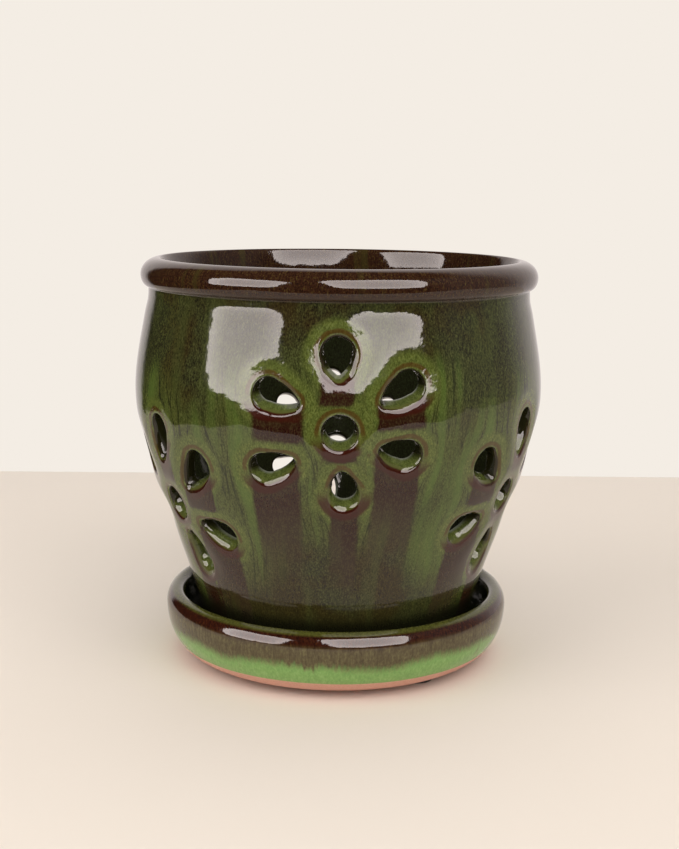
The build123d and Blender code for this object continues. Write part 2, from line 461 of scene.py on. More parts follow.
def slot_rows(slot):
    """Rows of points through a slot, each with its zone: 1 at the lip, 2 at the throat, 3 at the exit."""

    def flare_growth(depth):
        return np.maximum(slot.flare * LIP_SPREAD * (1 - depth / SLOT_FLARE_DEPTH), LEAST_FLARE)

    def at_flare(depth):
        return on_plane(slot, slot.outline(flare_growth(depth)), depth)

    def at_exit(extra):
        def place(depth):
            inward = (depth - SLOT_FLARE_DEPTH) / (POT_WALL - SLOT_FLARE_DEPTH)
            outline = slot.outline(-THROAT_NARROWING * np.minimum(inward, NARROWING_END) + extra)
            return on_plane(slot, outline, depth, THROAT_RISE * inward)
        return place

    edge_depth = depth_to(slot, at_flare, wall_radius)
    edge = at_flare(edge_depth)
    grown = slot.outline(flare_growth(edge_depth) + LIP_MARGIN)
    on_wall = on_plane(slot, grown, depth_to(slot, lambda d: on_plane(slot, grown, d), wall_radius))
    throat = on_plane(slot, slot.outline(0.0), np.full(slot.count, SLOT_FLARE_DEPTH))
    leave = at_exit(0.0)(depth_to(slot, at_exit(0.0), inner_radius, 10))
    inside = at_exit(EXIT_MARGIN)(depth_to(slot, at_exit(EXIT_MARGIN), inner_radius, 10))
    rows = [on_wall, *bend(on_wall, edge, throat, *LIP_BEND)]
    rows += bend(edge, throat, leave, *THROAT_BEND)
    rows += [throat * 0.45 + leave * 0.55, *bend(throat, leave, inside, *EXIT_BEND), inside]
    zones = [0.5, *np.linspace(0.7, 1.3, LIP_BEND[2]), *np.linspace(1.7, 2.3, THROAT_BEND[2]), 2.55]
    zones += [*np.linspace(2.75, 3.25, EXIT_BEND[2]), 4.0]
    return rows, zones


class MeshParts:
    """Collects points, faces and zones of a mesh, in millimetres."""

    def __init__(self):
        self.points, self.faces, self.zones = [], [], []
        self.count = 0

    def add(self, points, faces, zones):
        points = np.asarray(points, float).reshape(-1, 3)
        self.points.append(points)
        self.zones.append(np.broadcast_to(zones, len(points)).astype(float))
        self.faces += [tuple(int(i) + self.count for i in face) for face in faces]
        self.count += len(points)


def grid_faces(rows, columns):
    """Quads between rows of points that close round, row by row."""
    faces = []
    for low in range(0, (rows - 1) * columns, columns):
        high = low + columns
        for j in range(columns):
            k = (j + 1) % columns
            faces.append((low + j, low + k, high + k, high + j))
    return faces


def add_lathe(parts, profile, zones, columns=COLUMNS):
    """Rows of a half section turned round the axis, with one zone or a zone for each row."""
    bearings = SEAM + np.arange(columns) / columns * 2 * np.pi
    rows = [at(bearings, r, z) for r, z in profile]
    zones = np.repeat(np.broadcast_to(zones, len(profile)), columns)
    parts.add(np.concatenate(rows), grid_faces(len(rows), columns), zones)


def inside_loop(points, loop):
    """Which flat points lie within a closed flat loop."""
    x, y = points[:, 0], points[:, 1]
    inside = np.zeros(len(points), bool)
    for (x1, y1), (x2, y2) in zip(loop, np.roll(loop, -1, 0)):
        if y1 != y2:
            inside ^= ((y1 > y) != (y2 > y)) & (x < x1 + (y - y1) * (x2 - x1) / (y2 - y1))
    return inside


def wall_band(parts, band, radius_of, spacing, loops, clearance, zone, flip):
    """The wall between two heights as triangles, with a hole for each slot's loop of points."""
    span = 2 * np.pi * UNROLLED_RADIUS
    low, high = band
    seam_steps = int(round((high - low) / spacing))
    bottom = np.stack([np.arange(COLUMNS + 1) / COLUMNS * span, np.full(COLUMNS + 1, low)], -1)
    top = bottom[::-1] + [0, high - low]
    rungs = np.linspace(low, high, seam_steps + 1)[1:-1]
    right = np.stack([np.full(len(rungs), span), rungs], -1)
    left = np.stack([np.zeros(len(rungs)), rungs[::-1]], -1)
    border = np.concatenate([bottom, right, top, left])
    edges = [(i, (i + 1) % len(border)) for i in range(len(border))]
    flat_loops = []
    count = len(border)
    for loop in loops:
        across = (bearing_of(loop) - SEAM) % (2 * np.pi) * UNROLLED_RADIUS
        flat_loops.append(np.stack([across, loop[:, 2]], -1))
        edges += [(count + i, count + (i + 1) % len(loop)) for i in range(len(loop))]
        count += len(loop)
    # points between, in staggered rows
    rows = int((high - low) / (spacing * ROW_SPACING))
    columns = COLUMNS if spacing == OUTER_SPACING else COLUMNS // 2
    fill = []
    for i in range(1, rows):
        x = (np.arange(columns) + (0.25 if i % 2 else 0.75)) / columns * span
        fill.append(np.stack([x, np.full(columns, low + (high - low) * i / rows)], -1))
    fill = np.concatenate(fill)
    place = at(SEAM + fill[:, 0] / UNROLLED_RADIUS, body_radius(fill[:, 1]), fill[:, 1])
    clear = (slot_distances(place) > np.array([clearance(s) for s in SLOTS])[:, None]).all(0)
    for flat_loop in flat_loops:
        clear &= ~inside_loop(fill, flat_loop)
    points = np.concatenate([border, *flat_loops, fill[clear]])
    result = delaunay_2d_cdt([Vector(p) for p in points], edges, [], 0, 1e-5)
    flat_points, faces, sources = np.array([tuple(p) for p in result[0]]), np.array(result[2]), result[3]
    middles = flat_points[faces].mean(1)
    open_part = np.zeros(len(faces), bool)
    for flat_loop in flat_loops:
        open_part |= inside_loop(middles, flat_loop)
    kept = faces[~open_part]
    bearings = SEAM + flat_points[:, 0] / UNROLLED_RADIUS
    shape = at(bearings, radius_of(bearings, flat_points[:, 1]), flat_points[:, 1])
    # points of the loops keep their own places
    loop_points = np.concatenate(loops)
    for i, source in enumerate(sources):
        if source and len(border) <= source[0] < count:
            shape[i] = loop_points[source[0] - len(border)]
    parts.add(shape, kept[:, ::-1] if flip else kept, zone)


def wall_rows(radius_of, start, end, count):
    """Rows of a half section along the plain part of a wall, from one height to another."""
    return [(float(radius_of(SEAM, z)), z) for z in np.linspace(start, end, count)]


def level_rows(start, end, height, count):
    """Rows of a half section at one height, from one radius to another."""
    return [(r, height) for r in np.linspace(start, end, count)]


def pot_profiles():
    """Half sections above and below the bands with slots, each with the zones of its rows."""
    bulge = POT_HEIGHT - RIM_BULGE_DEPTH
    inside = NECK_RADIUS - POT_WALL
    crest = inside + MOUTH_FLARE
    rim = NECK_RADIUS + RIM_OVERHANG
    neck = wall_rows(wall_radius, OUTER_BAND[1], BODY_HEIGHT - NECK_GAP, 4)
    cove = [(NECK_RADIUS, BODY_HEIGHT - NECK_GAP / 2), (NECK_RADIUS + 0.12, BODY_HEIGHT + 0.02)]
    under = arc_points((NECK_RADIUS, bulge), RIM_OVERHANG, bulge - BODY_HEIGHT, 283, 77, 12)
    over = arc_points((crest, bulge), rim - crest, RIM_BULGE_DEPTH, 0, 90, 22)[1:]
    inner_lip = arc_points((crest, BODY_HEIGHT), MOUTH_FLARE, RIM_DEPTH, 90, 90, 18)[1:]
    inner = wall_rows(inner_radius, BODY_HEIGHT - 1, INNER_BAND[1], 4)
    outside, inside_rows = [*neck, *cove, *under, *over], [*inner_lip, *inner]
    upper = [*outside, *inside_rows], [OUTSIDE] * len(outside) + [INSIDE] * len(inside_rows)
    # from the inner zone down across the floor, out through the drain and back to the outer zone
    corner_radius = INSIDE_CORNER_RADIUS
    corner_height = POT_FLOOR + corner_radius
    low_inner = wall_rows(inner_radius, INNER_BAND[0], corner_height, 4)
    floor_radius = low_inner[-1][0] - corner_radius
    corner = arc_points((floor_radius, corner_height), corner_radius, corner_radius, 0, -90, 12)[1:]
    edge_centre = (DRAIN_RADIUS + DRAIN_EDGE_RADIUS, POT_FLOOR - DRAIN_EDGE_RADIUS)
    floor = level_rows(floor_radius, edge_centre[0], POT_FLOOR, 8)[1:]
    edge = arc_points(edge_centre, DRAIN_EDGE_RADIUS, DRAIN_EDGE_RADIUS, 90, 90, 8)[1:]
    hole = [(DRAIN_RADIUS, z) for z in np.linspace(edge_centre[1], FOOT_RECESS + DRAIN_CHAMFER, 4)][1:]
    chamfer = [(DRAIN_RADIUS + 0.25, FOOT_RECESS + 0.2), (DRAIN_RADIUS + DRAIN_CHAMFER, FOOT_RECESS)]
    ring_inside = FOOT_RADIUS - FOOT_RING_WIDTH
    recess = level_rows(DRAIN_RADIUS + 1.2, ring_inside - 0.6, FOOT_RECESS, 9)
    ring = [(ring_inside - 0.15, FOOT_RECESS - 0.2), (ring_inside, FOOT_RECESS - 0.7),
            (ring_inside + 0.2, 0.25), (ring_inside + RING_CHAMFER, 0)]
    foot_centre = (FOOT_RADIUS - FOOT_EDGE_RADIUS, FOOT_EDGE_RADIUS)
    under_ring = level_rows(ring_inside + 1.5, foot_centre[0], 0, 4)
    foot = arc_points(foot_centre, FOOT_EDGE_RADIUS, FOOT_EDGE_RADIUS, -90, 80, 7)[1:]
    low_outer = [(float(body_radius(z)), z) for z in np.linspace(FOOT_EDGE_RADIUS + 0.6, OUTER_BAND[0], 3)]
    inside_rows = [*low_inner, *corner, *floor, *edge]
    outside = [*hole, *chamfer, *recess, *ring, *under_ring, *foot, *low_outer]
    lower = [*inside_rows, *outside], [INSIDE] * len(inside_rows) + [OUTSIDE] * len(outside)
    return upper, lower


def pot_parts():
    parts = MeshParts()
    for profile, zones in pot_profiles():
        add_lathe(parts, profile, zones)
    rows_of_slots = []
    for slot in SLOTS:
        rows, zones = slot_rows(slot)
        rows_of_slots.append(rows)
        parts.add(np.concatenate(rows), grid_faces(len(rows), slot.count), np.repeat(zones, slot.count))
    outer_loops = [rows[0] for rows in rows_of_slots]
    inner_loops = [rows[-1] for rows in rows_of_slots]
    wall_band(parts, OUTER_BAND, wall_radius, OUTER_SPACING, outer_loops,
              lambda slot: slot.flare * LIP_SPREAD + OUTER_CLEARANCE, OUTSIDE, False)
    wall_band(parts, INNER_BAND, inner_radius, INNER_SPACING, inner_loops,
              lambda slot: INNER_CLEARANCE, INSIDE, True)
    return parts


def run_floor(slot):
    """Height where the glaze that runs down from a slot meets the surround of the next slot below."""
    bearing, height = slot.middle_place
    floor = -FAR
    for other in SLOTS:
        other_bearing, other_height = other.middle_place
        gap = turn_to(other_bearing, bearing) * body_radius(height)
        if abs(gap) < SAME_COLUMN and other_height < height - LEAST_FALL:
            floor = max(floor, other_height + other.radius + RUN_GAP)
    return floor


def curtain_values(points):
    """For the glaze that runs down under the slots: depth inside a run's edges, and drop below its slot."""
    inside = np.full(len(points), -FARTHEST_SHADED)
    drop = np.full(len(points), FAR)
    bearings = bearing_of(points)
    for slot in SLOTS:
        (b1, z1, r1), (b2, z2, r2) = slot.columns()
        radius = body_radius((z1 + z2) / 2)
        u = turn_to(bearings, b1) * radius
        u2 = turn_to(b2, b1) * radius
        low, high = min(-r1, u2 - r2) - RUN_OVERLAP, max(r1, u2 + r2) + RUN_OVERLAP
        share = np.clip(u / u2, 0, 1) if abs(u2) > 1 else 0.0
        axis = z1 + (z2 - z1) * share
        side = np.minimum(u - low, high - u)
        below = axis - points[:, 2]
        value = np.minimum(np.minimum(side, below), points[:, 2] - run_floor(slot))
        inside = np.maximum(inside, value)
        drop = np.where((side > -2) & (below > 0), np.minimum(drop, below), drop)
    return inside, np.minimum(drop, RUN_LENGTH)


def below_axis(points, distances):
    """How far points lie below the axis of their nearest slot, negative above it."""
    nearest = distances.argmin(0)
    below = np.zeros(len(points))
    bearings = bearing_of(points)
    for number, slot in enumerate(SLOTS):
        mine = nearest == number
        (b1, z1, _), (b2, z2, _) = slot.columns()
        u = turn_to(bearings[mine], b1)
        u2 = turn_to(b2, b1)
        share = np.clip(u / u2, 0, 1) if abs(u2) > 0.02 else 0.5
        below[mine] = z1 + (z2 - z1) * share - points[mine, 2]
    return np.clip(below, -FARTHEST_BELOW, FARTHEST_BELOW)


def flow_place(points):
    """Where the streaks of glaze come from: the bearing bent round the slots, with the height."""
    bearings = bearing_of(points)
    z = points[:, 2]
    shift = np.zeros(len(points))
    for slot in SLOTS:
        for (b, height, radius), weight in zip(slot.columns(), (1.0, 0.5)):
            u = turn_to(bearings, b) * UNROLLED_RADIUS
            reach = (radius + PARTING_MARGIN) * math.sqrt(weight)
            square = np.maximum(u * u + (z - height) ** 2, reach * reach)
            fade = np.exp(-np.maximum(np.sqrt(square) - reach, 0) / PARTING_FADE)
            shift -= reach * reach * u / square * fade * PARTING_STRENGTH
    return at(bearings + shift / UNROLLED_RADIUS, UNROLLED_RADIUS, z)


def add_object(name, data):
    obj = bpy.data.objects.new(name, data)
    bpy.context.scene.collection.objects.link(obj)
    return obj


def mesh_object(name, parts):
    """A mesh object in metres from collected parts, with doubled points joined."""
    points = np.concatenate(parts.points)
    mesh = bpy.data.meshes.new(name)
    mesh.from_pydata((points * MM).tolist(), [], parts.faces)
    put_values(mesh, "zone", np.concatenate(parts.zones))
    joined = bmesh.new()
    joined.from_mesh(mesh)
    bmesh.ops.remove_doubles(joined, verts=joined.verts, dist=JOIN_DISTANCE * MM)
    joined.to_mesh(mesh)
    joined.free()
    mesh.polygons.foreach_set("use_smooth", np.ones(len(mesh.polygons), bool))
    mesh.update()
    return add_object(name, mesh)


def points_of(mesh):
    co = np.zeros(len(mesh.vertices) * 3)
    mesh.vertices.foreach_get("co", co)
    return co.reshape(-1, 3)


def put_values(mesh, name, values):
    kind = "FLOAT_VECTOR" if values.ndim == 2 else "FLOAT"
    attribute = mesh.attributes.new(name, kind, "POINT")
    field = "vector" if values.ndim == 2 else "value"
    attribute.data.foreach_set(field, values.astype(np.float32).ravel())


def make_pot():
    obj = mesh_object("glazed_pot", pot_parts())
    mesh = obj.data
    points = points_of(mesh) / MM
    distances = slot_distances(points)
    curtain, drop = curtain_values(points)
    put_values(mesh, "slot_distance", np.minimum(distances.min(0), FARTHEST_SHADED))
    put_values(mesh, "below", below_axis(points, distances))
    put_values(mesh, "curtain", curtain)
    put_values(mesh, "drop", drop)
    put_values(mesh, "flow", flow_place(points) * MM)
    mesh.transform(Matrix.Translation((0, 0, POT_LEVEL * MM)))
    return obj


def saucer_profile():
    """Half section of the saucer from under its middle to its floor, and how many rows lie outside."""
    swell, bulge = 12.0, 17.9
    lip = SAUCER_HEIGHT - bulge
    outer_lip, inner_lip, inner_depth = 4.4, 3.0, 4.3
    base_angle = 82
    crest = SAUCER_RADIUS - outer_lip
    inside = crest - inner_lip
    floor_radius, floor, corner = inside - 2.2, 6.0, 4.0
    recess_radius, recess, chamfer, axis_hole = 38.0, 1.0, 0.8, 0.4
    centre = (SAUCER_RADIUS - swell, bulge)
    tall = bulge / math.sin(math.radians(base_angle))
    outer = arc_points(centre, swell, tall, -base_angle + 4, base_angle - 4, 44)
    first = outer[0]
    base_radius = centre[0] + swell * math.cos(math.radians(base_angle))
    under = level_rows(axis_hole, recess_radius - chamfer, recess, 10)
    step = [(recess_radius - 0.2, recess - 0.15), (recess_radius, recess - 0.5), (recess_radius + 0.5, 0)]
    ring = level_rows(recess_radius + 1, base_radius - chamfer, 0, 7)
    edge = [(base_radius - 0.25, 0.12), ((base_radius + first[0]) / 2 + 0.1, first[1] * 0.5)]
    over = arc_points((crest, bulge), outer_lip, lip, 0, 90, 22)[1:]
    inner = arc_points((crest, SAUCER_HEIGHT - inner_depth), inner_lip, inner_depth, 90, 90, 16)[1:]
    wall_low, wall_top = floor + corner * 0.85, SAUCER_HEIGHT - inner_depth
    wall = [(floor_radius + (inside - floor_radius) * t, wall_low + (wall_top - wall_low) * t)
            for t in np.linspace(0.92, 0, 8)]
    bottom = arc_points((floor_radius - corner, floor + corner), corner, corner, -12, -78, 10)[1:]
    middle = level_rows(floor_radius - corner - 1, axis_hole, floor, 12)
    outside = [*under, *step, *ring, *edge, *outer, *over]
    return [*outside, *inner, *wall, *bottom, *middle], len(outside)


def turned_object(name, profile, zones, columns, place):
    """A closed body turned from a half section, at its place in millimetres."""
    parts = MeshParts()
    add_lathe(parts, profile, zones, columns)
    obj = mesh_object(name, parts)
    close_ends(obj.data)
    obj.data.transform(Matrix.Translation([value * MM for value in place]))
    return obj


def make_saucer():
    profile, crest_row = saucer_profile()
    zones = [1.0 if row > crest_row else 0.0 for row in range(len(profile))]
    return turned_object("glazed_saucer", profile, zones, SAUCER_COLUMNS, (0, 0, SAUCER_LEVEL))


def close_ends(mesh):
    """Fill the two small holes left on the axis."""
    filled = bmesh.new()
    filled.from_mesh(mesh)
    edges = [e for e in filled.edges if e.is_boundary]
    bmesh.ops.holes_fill(filled, edges=edges)
    bmesh.ops.recalc_face_normals(filled, faces=filled.faces)
    filled.to_mesh(mesh)
    filled.free()


def make_pad(name):
    """A rubber bumper with a slightly drawn-in top and a rounded foot, where its solid is."""
    low, high = box_mm(name)
    middle = (low + high) / 2
    radius, height, round_edge, axis_hole = (high[0] - low[0]) / 2, high[2] - low[2], 0.5, 0.2
    foot = arc_points((radius - round_edge, round_edge), round_edge, round_edge, -90, 90, 10)
    profile = level_rows(axis_hole, radius - round_edge - 0.2, 0, 6)
    profile += [*foot, (radius, height * 0.8), (radius - 0.12, height * 0.95), (radius - 0.3, height)]
    profile += level_rows(radius - 1, axis_hole, height, 5)
    place = (middle[0], middle[1], low[2])
    return turned_object(name.replace("pad", "rubber_pad"), profile, 0.0, PAD_COLUMNS, place)


def linear(colour):
    """A colour written as hex, in linear light."""
    values = [int(colour[i:i + 2], 16) / 255 for i in (1, 3, 5)]
    values = [v / 12.92 if v <= 0.04045 else ((v + 0.055) / 1.055) ** 2.4 for v in values]
    return (*values, 1)


class Shader:
    """Short names for the nodes that a material needs."""

    def __init__(self, name, roughness, ior=1.5):
        self.material = bpy.data.materials.new(name)
        self.material.use_nodes = True
        self.tree = self.material.node_tree
        self.principled = self.tree.nodes["Principled BSDF"]
        self.principled.inputs["Roughness"].default_value = roughness
        self.principled.inputs["IOR"].default_value = ior

    def put(self, socket, value):
        if isinstance(value, bpy.types.NodeSocket):
            self.tree.links.new(value, socket)
        elif isinstance(value, str):
            socket.default_value = linear(value)
        else:
            socket.default_value = value

    def node(self, kind, inputs, **settings):
        """The outputs of a new node, with values or other nodes' outputs put into its inputs."""
        node = self.tree.nodes.new(kind)
        for key, value in settings.items():
            setattr(node, key, value)
        for key, value in inputs.items():
            self.put(node.inputs[key], value)
        return node.outputs

    def math(self, operation, *values):
        return self.node("ShaderNodeMath", dict(enumerate(values)), operation=operation)[0]

    def times(self, a, b):
        return self.math("MULTIPLY", a, b)

    def plus(self, a, b):
        return self.math("ADD", a, b)

    def minus(self, a, b):
        return self.math("SUBTRACT", a, b)

    def away(self, value, middle):
        return self.math("ABSOLUTE", self.minus(value, middle))

    def value(self, name):
        return self.node("ShaderNodeAttribute", {}, attribute_name=name)["Fac"]

    def vector(self, name):
        return self.node("ShaderNodeAttribute", {}, attribute_name=name)["Vector"]

    def object_place(self):
        return self.node("ShaderNodeTexCoord", {})["Object"]

    def height(self, place):
        """Height in millimetres."""
        return self.math("DIVIDE", self.node("ShaderNodeSeparateXYZ", {0: place})[2], MM)

    def stretched(self, vector, scale):
        return self.node("ShaderNodeMapping", {"Vector": vector, "Scale": scale})[0]

    def noise(self, vector, scale, detail, rough, seed=0.0):
        inputs = {"Vector": vector, "W": seed, "Scale": scale, "Detail": detail, "Roughness": rough}
        return self.node("ShaderNodeTexNoise", inputs, noise_dimensions="4D")["Fac"]

    def step(self, value, low, high):
        """0 below low, 1 above high, smooth between; low may be the higher."""
        inputs = {"Value": value, "From Min": low, "From Max": high}
        return self.node("ShaderNodeMapRange", inputs, interpolation_type="SMOOTHSTEP")[0]

    def mix(self, share, a, b):
        return self.node("ShaderNodeMix", {0: share, 6: a, 7: b}, data_type="RGBA")[2]

    def lay(self, under, over, mask, share):
        """A colour laid over another where the mask is 1, as densely as the share."""
        return self.mix(self.times(mask, share), under, over)

    def ramp(self, value, *stops):
        node = self.tree.nodes.new("ShaderNodeValToRGB")
        self.put(node.inputs[0], value)
        elements = node.color_ramp.elements
        while len(elements) < len(stops):
            elements.new(0.5)
        for element, (place, colour) in zip(elements, stops):
            element.position = place
            element.color = linear(colour)
        return node.outputs[0]

    def bump(self, height, distance, strength):
        inputs = {"Height": height, "Distance": distance, "Strength": strength}
        self.put(self.principled.inputs["Normal"], self.node("ShaderNodeBump", inputs)[0])

    def colour(self, value):
        self.put(self.principled.inputs["Base Color"], value)


def pot_glaze():
    s = Shader("pot_glaze", POT_ROUGHNESS, 1.43)
    place = s.object_place()
    flow = s.vector("flow")
    height = s.height(place)
    distance, below = s.value("slot_distance"), s.value("below")
    curtain, drop = s.value("curtain"), s.value("drop")
    zone = s.value("zone")
    streaks = s.noise(s.stretched(flow, (1, 1, 0.3)), 1800, 3, 0.6)
    bands = s.noise(s.stretched(flow, (1, 1, 0.10)), 170, 3, 0.5, seed=3.0)
    broad = s.noise(s.stretched(flow, (1, 1, 0.22)), 85, 2, 0.5, seed=17.0)
    specks = s.noise(s.stretched(place, (1, 1, 0.6)), 2100, 3, 0.6, seed=7.0)
    clouds = s.noise(place, 45, 3, 0.5, seed=11.0)
    wobble = s.times(s.minus(s.noise(place, 260, 3, 0.5, seed=5.0), 0.5), 2.0)
    mottle = s.plus(s.times(streaks, 0.4), s.times(specks, 0.6))

    # mottled ground: dark olive, with brown patches and greener streaks
    ground = s.ramp(mottle, (0.40, "#1d1b10"), (0.48, "#2f2f1a"), (0.55, "#414324"), (0.64, "#555931"))
    brown = s.ramp(mottle, (0.38, "#1f140a"), (0.50, "#332612"), (0.64, "#4a3e1e"))
    ground = s.lay(ground, brown, s.step(clouds, 0.45, 0.60), 0.8)
    green = s.ramp(mottle, (0.38, "#2e3319"), (0.5, "#444a25"), (0.64, "#5a6034"))
    ground = s.lay(ground, green, s.step(broad, 0.46, 0.66), 0.6)

    # greener glaze between the runs, with thin dark lines that part round the slots
    stream = s.times(s.step(distance, 24.0, 8.0), s.step(height, 132.0, 114.0))
    green = s.ramp(mottle, (0.38, "#34391a"), (0.46, "#474f24"), (0.55, "#575f2d"), (0.66, "#6a7139"))
    colour = s.lay(ground, green, stream, 0.65)
    colour = s.lay(colour, "#5b7430", s.times(stream, s.step(bands, 0.48, 0.68)), 0.45)
    lines = s.step(s.away(bands, 0.47), 0.020, 0.004)
    colour = s.lay(colour, "#1e200f", s.times(lines, stream), 0.8)
    colour = s.lay(colour, "#34361a", s.step(height, 42.0, 20.0), 0.65)

    # dark red-brown runs under the slots
    run = s.step(s.plus(curtain, s.times(wobble, 1.3)), -0.9, 1.1)
    fading = s.step(drop, 52.0, 14.0)
    run_colour = s.mix(s.step(drop, 10.0, 32.0), "#290f0a", "#37291f")
    run_colour = s.lay(run_colour, "#4a3f27", s.step(mottle, 0.46, 0.60), 0.5)
    run_colour = s.lay(run_colour, "#3c3d1f", s.step(bands, 0.48, 0.60), s.step(drop, 22.0, 50.0))
    colour = s.lay(colour, run_colour, run, fading)

    # olive halo above and beside each slot
    around = s.plus(distance, s.times(wobble, 0.6))
    clear = s.minus(1.0, s.times(run, 0.95))
    halo = s.times(s.step(around, 7.6, 4.4), clear)
    halo_colour = s.ramp(mottle, (0.38, "#40451e"), (0.5, "#56602a"), (0.62, "#6e7639"))
    colour = s.lay(colour, halo_colour, halo, 0.9)

    # the glaze runs thin and red-brown over each lip, and pools yellow-green on the lower side
    lower = s.step(below, -0.5, 2.5)
    upper_lip = s.times(s.step(s.away(around, 2.0), 1.1, 0.4), s.minus(1.0, lower))
    colour = s.lay(colour, "#4b2f12", upper_lip, 0.75)
    lower_lip = s.times(s.step(around, 5.0, 3.6), s.step(below, 0.5, 7.0))
    colour = s.lay(colour, "#3a140c", lower_lip, 0.9)
    # painted shade: the upper side of each flare and throat is the lip's brown glaze, painted darker still
    # for the shade under the slot's top
    colour = s.mix(s.step(zone, 1.15, 1.7), colour, s.mix(lower, "#2c2312", "#55572a"))
    pooled = s.ramp(mottle, (0.38, "#3a401c"), (0.5, "#51592a"), (0.62, "#6b743c"))
    colour = s.mix(s.step(zone, 1.75, 2.2), colour, s.mix(lower, "#22210f", pooled))
    # painted reflection: a pale grey crescent on the lower side of each slot's exit
    colour = s.lay(colour, "#8d8f84", s.times(s.step(zone, 2.6, 2.9), lower), 0.7)
    inside_colour = s.ramp(mottle, (0.38, "#201e13"), (0.5, "#2a2c1a"), (0.64, "#373b23"))
    colour = s.mix(s.step(zone, 3.2, 3.9), colour, inside_colour)

    # painted shade: the foot is painted near black where it stands in the saucer, for its shadow and the
    # dark reflection of the saucer's inside
    colour = s.lay(colour, "#13130b", s.step(height, 30.0, 24.5), 0.75)

    # rolled rim: very dark red-brown with olive flecks and a few olive stripes
    flecks = s.ramp(mottle, (0.42, "#24140c"), (0.53, "#382014"), (0.61, "#4a3a1c"), (0.70, "#5a542c"))
    flecks = s.lay(flecks, "#47421d", s.step(bands, 0.58, 0.70), 0.4)
    top = POT_LEVEL + BODY_HEIGHT
    under_rim = s.mix(s.step(height, top - 0.5, top + 0.3), colour, "#3a2a20")
    colour = s.mix(s.step(height, top + 0.6, top + 2.2), under_rim, flecks)
    s.colour(colour)
    ripple = s.plus(s.noise(place, 300, 2, 0.5, seed=13.0), s.times(specks, 0.03))
    s.bump(ripple, RIPPLE_DEPTH, RIPPLE_STRENGTH)
    return s.material


def saucer_glaze():
    s = Shader("saucer_glaze", SAUCER_ROUGHNESS, 1.45)
    place = s.object_place()
    height = s.minus(s.height(place), SAUCER_LEVEL)
    inside = s.value("zone")
    streaks = s.noise(s.stretched(place, (1, 1, 0.16)), 1000, 3, 0.55, seed=2.0)
    bands = s.noise(s.stretched(place, (1, 1, 0.12)), 170, 3, 0.5, seed=8.0)
    specks = s.noise(s.stretched(place, (1, 1, 0.6)), 1500, 3, 0.6, seed=6.0)
    clouds = s.noise(s.stretched(place, (1, 1, 0.3)), 32, 2, 0.5, seed=4.0)
    mottle = s.plus(s.times(streaks, 0.5), s.times(specks, 0.5))
    wander = s.times(s.minus(clouds, 0.5), 9.0)
    fringe = s.times(s.minus(streaks, 0.5), 5.0)
    drips = s.times(s.step(bands, 0.56, 0.70), 3.5)
    level = s.plus(s.plus(height, wander), s.plus(fringe, drips))

    # leaf green at the foot, then brown-olive, then red-brown over the shoulder
    green = s.ramp(mottle, (0.38, "#6c9450"), (0.5, "#79a056"), (0.62, "#88a963"))
    brown = s.ramp(mottle, (0.38, "#41351f"), (0.5, "#53482d"), (0.62, "#645c3a"))
    colour = s.mix(s.step(level, 9.5, 14.0), green, brown)
    shoulder = s.step(s.plus(height, s.times(wander, 0.25)), 17.5, 20.5)
    dark = s.ramp(mottle, (0.42, "#27100a"), (0.56, "#3a1a0e"), (0.68, "#4c3517"))
    colour = s.mix(shoulder, colour, dark)
    crest = s.ramp(mottle, (0.38, "#3a3a16"), (0.6, "#5b5c28"))
    colour = s.mix(s.step(height, 22.3, 23.3), colour, crest)
    # the saucer's inside: its dark olive glaze, painted darker still as painted shade round the pot's foot
    well_with_painted_shade = s.ramp(mottle, (0.38, "#1a1a0e"), (0.5, "#272a16"), (0.62, "#383c20"))
    well_with_painted_shade = s.mix(s.step(height, 20.0, 23.4), well_with_painted_shade, crest)
    colour = s.mix(s.step(inside, 0.4, 0.6), colour, well_with_painted_shade)
    edge = s.plus(height, s.times(wander, 0.06))
    clay = s.ramp(specks, (0.35, "#c28b78"), (0.65, "#cd9b88"))
    colour = s.mix(s.step(edge, 4.85, 4.55), colour, clay)
    s.colour(colour)
    smoother = s.times(s.step(edge, 4.55, 4.85), CLAY_ROUGHNESS - SAUCER_ROUGHNESS)
    s.put(s.principled.inputs["Roughness"], s.minus(CLAY_ROUGHNESS, smoother))
    s.bump(s.noise(place, 300, 2, 0.5, seed=9.0), RIPPLE_DEPTH, RIPPLE_STRENGTH)
    return s.material


def pad_rubber():
    s = Shader("pad_rubber", roughness=0.55)
    place = s.object_place()
    dust = s.noise(place, 1500, 4, 0.6)
    s.colour(s.ramp(dust, (0.35, "#0b0b0b"), (0.7, "#1d1c1b")))
    s.bump(dust, 0.00008, 0.5)
    return s.material


def stage_material(name, colour):
    s = Shader(name, roughness=0.8)
    s.colour(colour)
    return s.material


def glowing(name, strength):
    """A material whose light follows the glow kept in the mesh."""
    s = Shader(name, roughness=1.0)
    s.tree.nodes.remove(s.principled)
    glow = s.times(s.value("glow"), strength)
    light = s.node("ShaderNodeEmission", {"Color": "#fdf2ee", "Strength": glow})[0]
    s.put(s.tree.nodes["Material Output"].inputs["Surface"], light)
    return s.material


def stage_object(name, points, faces, material, values=None):
    mesh = bpy.data.meshes.new(name)
    mesh.from_pydata([tuple(p) for p in points], [], faces)
    if values is not None:
        put_values(mesh, "glow", np.asarray(values, float))
    mesh.materials.append(material)
    return add_object(name, mesh)


def mirrored_object(name, points, faces, values, strength):
    """A glowing stage piece that only reflections show."""
    obj = stage_object(name, points, faces, glowing(name, strength), values)
    obj.visible_camera = False
    obj.visible_diffuse = False
    obj.visible_shadow = False
    return obj


def direction(azimuth, elevation):
    """Unit vector from the part towards an azimuth, 0 at the front, and an elevation in degrees."""
    a, e = math.radians(azimuth), math.radians(elevation)
    return Vector((math.sin(a) * math.cos(e), -math.cos(a) * math.cos(e), math.sin(e)))


def ease(value, low, high):
    t = np.clip((np.asarray(value, float) - low) / (high - low), 0, 1)
    return t * t * (3 - 2 * t)


